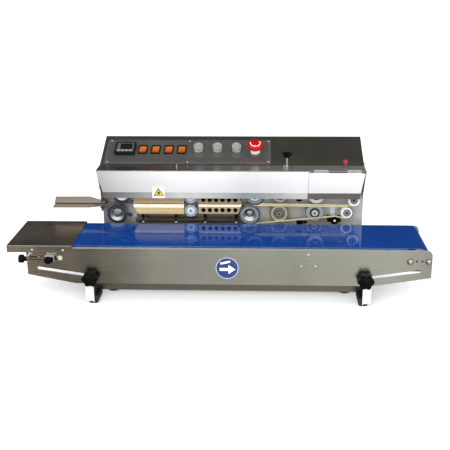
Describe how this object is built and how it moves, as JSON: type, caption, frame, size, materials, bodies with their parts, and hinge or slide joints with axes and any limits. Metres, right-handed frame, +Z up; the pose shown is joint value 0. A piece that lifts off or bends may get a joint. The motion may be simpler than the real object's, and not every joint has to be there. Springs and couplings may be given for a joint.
{
  "type": "continuous band sealer",
  "caption": "Bench band sealer: a blue belt conveyor carries bags past a head whose heated bands seal the mouth, with wheels, cooling block, sloped console and height clamps",
  "frame": {"origin": "middle of the footprint, on the table the feet stand on", "axes": "+X is the way the bags travel along the conveyor, +Y points from the operator's side to the back of the head, +Z is up"},
  "size_m": [0.95, 0.37, 0.3297],
  "materials": {
    "stainless": "brushed",
    "polished_stainless": "polished",
    "cover_white_steel": "polished",
    "control_plate_grey": "satin",
    "belt_blue": "gloss",
    "black_plastic": "moulded",
    "dark_grey_plastic": "moulded",
    "orange_plastic": "translucent",
    "clear_grey_plastic": "satin",
    "red_plastic": "gloss",
    "silver_plastic": "satin",
    "rubber_black": "moulded",
    "wheel_rubber": "moulded",
    "turned_steel": "turned",
    "chrome_steel": "polished",
    "brass_block": "milled",
    "aluminium_block": "milled",
    "white_plastic": "moulded",
    "cord_yellow": "extruded",
    "band_tan": "coated",
    "motor_grey": "hammered",
    "zinc_screw": "plated",
    "bronze_bush": "turned"
  },
  "bodies": {
    "machine": {"base_tray": "stainless", "base_feet": "rubber_black", "back_panel": "stainless", "console_housing": "polished_stainless", "main_cover": "cover_white_steel", "infeed_guide": "stainless", "control_plate": "control_plate_grey", "temperature_controller": "dark_grey_plastic", "switch_bodies": "black_plastic", "estop_collar": "silver_plastic", "geared_motor": "motor_grey", "shaft_bushes": "bronze_bush", "lower_heater_block": "brass_block", "lower_cooling_block": "aluminium_block", "block_rail": "turned_steel", "sealing_bands": "band_tan", "guide_cords": "cord_yellow", "pressure_springs": "zinc_screw", "head_screws": "zinc_screw"},
    "conveyor": {"conveyor_frame": "stainless", "conveyor_belt": "belt_blue", "infeed_plate": "polished_stainless", "conveyor_screws": "zinc_screw"},
    "left_leg": {"left_leg": "stainless", "left_leg_shoes": "rubber_black"},
    "right_leg": {"right_leg": "stainless", "right_leg_shoes": "rubber_black"},
    "belt_tension": {"tension_axle": "chrome_steel"},
    "print_guard": {"print_guard": "cover_white_steel"},
    "idler_roller": {"idler_roller": "turned_steel"},
    "tension_knob": {"tension_knob": "black_plastic"},
    "drive_roller": {"drive_roller": "turned_steel"},
    "left_clamp_knob": {"left_clamp_knob": "black_plastic"},
    "right_clamp_knob": {"right_clamp_knob": "black_plastic"},
    "lower_infeed_wheel": {"lower_infeed_wheel": "wheel_rubber"},
    "upper_infeed_wheel": {"upper_infeed_wheel": "wheel_rubber"},
    "lower_drive_wheel": {"lower_drive_wheel": "wheel_rubber"},
    "upper_drive_wheel": {"upper_drive_wheel": "wheel_rubber"},
    "lower_press_roller": {"lower_press_roller": "chrome_steel"},
    "upper_press_roller": {"upper_press_roller": "chrome_steel"},
    "lower_emboss_wheel": {"lower_emboss_wheel": "chrome_steel"},
    "upper_emboss_wheel": {"upper_emboss_wheel": "chrome_steel"},
    "lower_feed_wheel": {"lower_feed_wheel": "turned_steel"},
    "upper_feed_wheel": {"upper_feed_wheel": "turned_steel"},
    "lower_end_pulley": {"lower_end_pulley": "white_plastic"},
    "upper_end_pulley": {"upper_end_pulley": "white_plastic"},
    "cord_tensioner": {"cord_tensioner": "black_plastic"},
    "motor_pinion": {"motor_pinion": "turned_steel"},
    "upper_heater_block": {"upper_heater_block": "brass_block"},
    "upper_cooling_block": {"upper_cooling_block": "aluminium_block"},
    "pressure_knob": {"pressure_knob": "black_plastic"},
    "print_push_knob": {"print_push_knob": "red_plastic"},
    "heater_switch": {"heater_switch": "orange_plastic"},
    "motor_switch": {"motor_switch": "orange_plastic"},
    "printer_switch": {"printer_switch": "orange_plastic"},
    "fan_switch": {"fan_switch": "orange_plastic"},
    "speed_dial": {"speed_dial": "clear_grey_plastic"},
    "print_delay_dial": {"print_delay_dial": "clear_grey_plastic"},
    "cooling_dial": {"cooling_dial": "clear_grey_plastic"},
    "estop_button": {"estop_button": "red_plastic"}
  },
  "joints": [
    {"name": "conveyor_lift", "type": "slide", "parent": "machine", "child": "conveyor", "axis": [0, 0, 1], "range_m": [-0.012, 0]},
    {"name": "left_leg_slide", "type": "slide", "parent": "conveyor", "child": "left_leg", "axis": [-0.9888, 0, 0.1496], "range_m": [0, 0.08034]},
    {"name": "right_leg_slide", "type": "slide", "parent": "conveyor", "child": "right_leg", "axis": [0.9888, 0, 0.1496], "range_m": [0, 0.08034]},
    {"name": "left_clamp_turn", "type": "hinge", "parent": "left_leg", "child": "left_clamp_knob", "pos_m": [-0.2865, -0.171, 0.0675], "axis": [0, 1, 0], "range_deg": [0, 720]},
    {"name": "right_clamp_turn", "type": "hinge", "parent": "right_leg", "child": "right_clamp_knob", "pos_m": [0.329, -0.171, 0.0675], "axis": [0, 1, 0], "range_deg": [0, 720]},
    {"name": "belt_tension_slide", "type": "slide", "parent": "conveyor", "child": "belt_tension", "axis": [-1, 0, 0], "range_m": [-0.006, 0.006], "deforming": ["conveyor_belt"]},
    {"name": "tension_screw_turn", "type": "hinge", "parent": "conveyor", "child": "tension_knob", "pos_m": [-0.435, -0.162, 0.1105], "axis": [1, 0, 0], "range_deg": [-2200, 2200]},
    {"name": "idler_spin", "type": "hinge", "parent": "belt_tension", "child": "idler_roller", "pos_m": [-0.378, -0.07, 0.1105], "axis": [0, 1, 0], "continuous": true},
    {"name": "conveyor_drive_spin", "type": "hinge", "parent": "conveyor", "child": "drive_roller", "pos_m": [0.447, -0.07, 0.1105], "axis": [0, 1, 0], "continuous": true},
    {"name": "lower_drive_spin", "type": "hinge", "parent": "machine", "child": "lower_drive_wheel", "pos_m": [0.068, 0.051, 0.1507], "axis": [0, 1, 0], "continuous": true},
    {"name": "upper_drive_spin", "type": "hinge", "parent": "machine", "child": "upper_drive_wheel", "pos_m": [0.0808, 0.051, 0.2023], "axis": [0, 1, 0], "continuous": true},
    {"name": "lower_infeed_spin", "type": "hinge", "parent": "machine", "child": "lower_infeed_wheel", "pos_m": [-0.2582, 0.051, 0.1507], "axis": [0, 1, 0], "continuous": true},
    {"name": "upper_infeed_spin", "type": "hinge", "parent": "machine", "child": "upper_infeed_wheel", "pos_m": [-0.244, 0.051, 0.2023], "axis": [0, 1, 0], "continuous": true},
    {"name": "lower_press_spin", "type": "hinge", "parent": "machine", "child": "lower_press_roller", "pos_m": [-0.0757, 0.051, 0.1596], "axis": [0, 1, 0], "continuous": true},
    {"name": "upper_press_spin", "type": "hinge", "parent": "machine", "child": "upper_press_roller", "pos_m": [-0.0757, 0.051, 0.1936], "axis": [0, 1, 0], "continuous": true},
    {"name": "lower_emboss_spin", "type": "hinge", "parent": "machine", "child": "lower_emboss_wheel", "pos_m": [0.1403, 0.051, 0.1535], "axis": [0, 1, 0], "continuous": true},
    {"name": "upper_emboss_spin", "type": "hinge", "parent": "machine", "child": "upper_emboss_wheel", "pos_m": [0.1419, 0.051, 0.2019], "axis": [0, 1, 0], "continuous": true},
    {"name": "lower_feed_spin", "type": "hinge", "parent": "machine", "child": "lower_feed_wheel", "pos_m": [0.2266, 0.051, 0.1555], "axis": [0, 1, 0], "continuous": true},
    {"name": "upper_feed_spin", "type": "hinge", "parent": "machine", "child": "upper_feed_wheel", "pos_m": [0.23, 0.051, 0.2002], "axis": [0, 1, 0], "continuous": true},
    {"name": "lower_end_spin", "type": "hinge", "parent": "machine", "child": "lower_end_pulley", "pos_m": [0.304, 0.051, 0.1575], "axis": [0, 1, 0], "continuous": true},
    {"name": "upper_end_spin", "type": "hinge", "parent": "machine", "child": "upper_end_pulley", "pos_m": [0.32, 0.051, 0.1889], "axis": [0, 1, 0], "continuous": true},
    {"name": "cord_tensioner_spin", "type": "hinge", "parent": "machine", "child": "cord_tensioner", "pos_m": [0.275, 0.051, 0.1376], "axis": [0, 1, 0], "continuous": true},
    {"name": "motor_pinion_spin", "type": "hinge", "parent": "machine", "child": "motor_pinion", "pos_m": [0.0278, 0.051, 0.1507], "axis": [0, 1, 0], "continuous": true},
    {"name": "upper_heater_lift", "type": "slide", "parent": "machine", "child": "upper_heater_block", "axis": [0, 0, 1], "range_m": [0, 0.003], "stiffness_N_per_m": 300, "springref_m": -0.006, "deforming": ["pressure_springs"]},
    {"name": "upper_cooling_lift", "type": "slide", "parent": "machine", "child": "upper_cooling_block", "axis": [0, 0, 1], "range_m": [0, 0.003], "stiffness_N_per_m": 300, "springref_m": -0.006, "deforming": ["pressure_springs"]},
    {"name": "pressure_knob_turn", "type": "hinge", "parent": "machine", "child": "pressure_knob", "pos_m": [0.156, 0.017, 0.303], "axis": [0, 0, 1], "range_deg": [-360, 360]},
    {"name": "print_push", "type": "slide", "parent": "machine", "child": "print_push_knob", "axis": [0, 0, -1], "range_m": [0, 0.005], "stiffness_N_per_m": 120, "springref_m": -0.003},
    {"name": "print_guard_hinge", "type": "hinge", "parent": "machine", "child": "print_guard", "pos_m": [0.27195, -0.0204, 0.2753], "axis": [-1, 0, 0], "range_deg": [0, 75]},
    {"name": "heater_switch_rock", "type": "hinge", "parent": "machine", "child": "heater_switch", "pos_m": [-0.1932, 0.08188, 0.30041], "axis": [1, 0, 0], "range_deg": [0, 18]},
    {"name": "motor_switch_rock", "type": "hinge", "parent": "machine", "child": "motor_switch", "pos_m": [-0.1614, 0.08188, 0.30041], "axis": [1, 0, 0], "range_deg": [0, 18]},
    {"name": "printer_switch_rock", "type": "hinge", "parent": "machine", "child": "printer_switch", "pos_m": [-0.1296, 0.08188, 0.30041], "axis": [1, 0, 0], "range_deg": [0, 18]},
    {"name": "fan_switch_rock", "type": "hinge", "parent": "machine", "child": "fan_switch", "pos_m": [-0.0976, 0.08188, 0.30041], "axis": [1, 0, 0], "range_deg": [0, 18]},
    {"name": "speed_dial_turn", "type": "hinge", "parent": "machine", "child": "speed_dial", "pos_m": [-0.057, 0.07925, 0.3069], "axis": [0, -0.4148, 0.9099], "range_deg": [-140, 140]},
    {"name": "print_delay_dial_turn", "type": "hinge", "parent": "machine", "child": "print_delay_dial", "pos_m": [-0.011, 0.07925, 0.3069], "axis": [0, -0.4148, 0.9099], "range_deg": [-140, 140]},
    {"name": "cooling_dial_turn", "type": "hinge", "parent": "machine", "child": "cooling_dial", "pos_m": [0.0356, 0.07925, 0.3069], "axis": [0, -0.4148, 0.9099], "range_deg": [-140, 140]},
    {"name": "estop_push", "type": "slide", "parent": "machine", "child": "estop_button", "axis": [0, 0.4148, -0.9099], "range_m": [0, 0.006]}
  ],
  "couplings": [
    {"joint": "left_leg_slide", "follows": "conveyor_lift", "ratio": -6.6863},
    {"joint": "right_leg_slide", "follows": "conveyor_lift", "ratio": -6.6863},
    {"joint": "tension_screw_turn", "follows": "belt_tension_slide", "rad_per_m": 6283.2},
    {"joint": "upper_drive_spin", "follows": "lower_drive_spin", "ratio": -1},
    {"joint": "lower_infeed_spin", "follows": "lower_drive_spin", "ratio": 1},
    {"joint": "upper_infeed_spin", "follows": "lower_drive_spin", "ratio": -1},
    {"joint": "lower_press_spin", "follows": "lower_drive_spin", "ratio": 1.6097},
    {"joint": "upper_press_spin", "follows": "lower_drive_spin", "ratio": -1.6097},
    {"joint": "lower_emboss_spin", "follows": "lower_drive_spin", "ratio": 1.0708},
    {"joint": "upper_emboss_spin", "follows": "lower_drive_spin", "ratio": -1.0708},
    {"joint": "lower_feed_spin", "follows": "lower_drive_spin", "ratio": 1.1605},
    {"joint": "upper_feed_spin", "follows": "lower_drive_spin", "ratio": -1.1605},
    {"joint": "lower_end_spin", "follows": "lower_drive_spin", "ratio": 1.5828},
    {"joint": "upper_end_spin", "follows": "lower_drive_spin", "ratio": -1.9274},
    {"joint": "cord_tensioner_spin", "follows": "lower_drive_spin", "ratio": -2.2762},
    {"joint": "motor_pinion_spin", "follows": "lower_drive_spin", "ratio": -1.9444},
    {"joint": "conveyor_drive_spin", "follows": "lower_drive_spin", "ratio": 0.93271},
    {"joint": "idler_spin", "follows": "lower_drive_spin", "ratio": 0.93271}
  ]
}
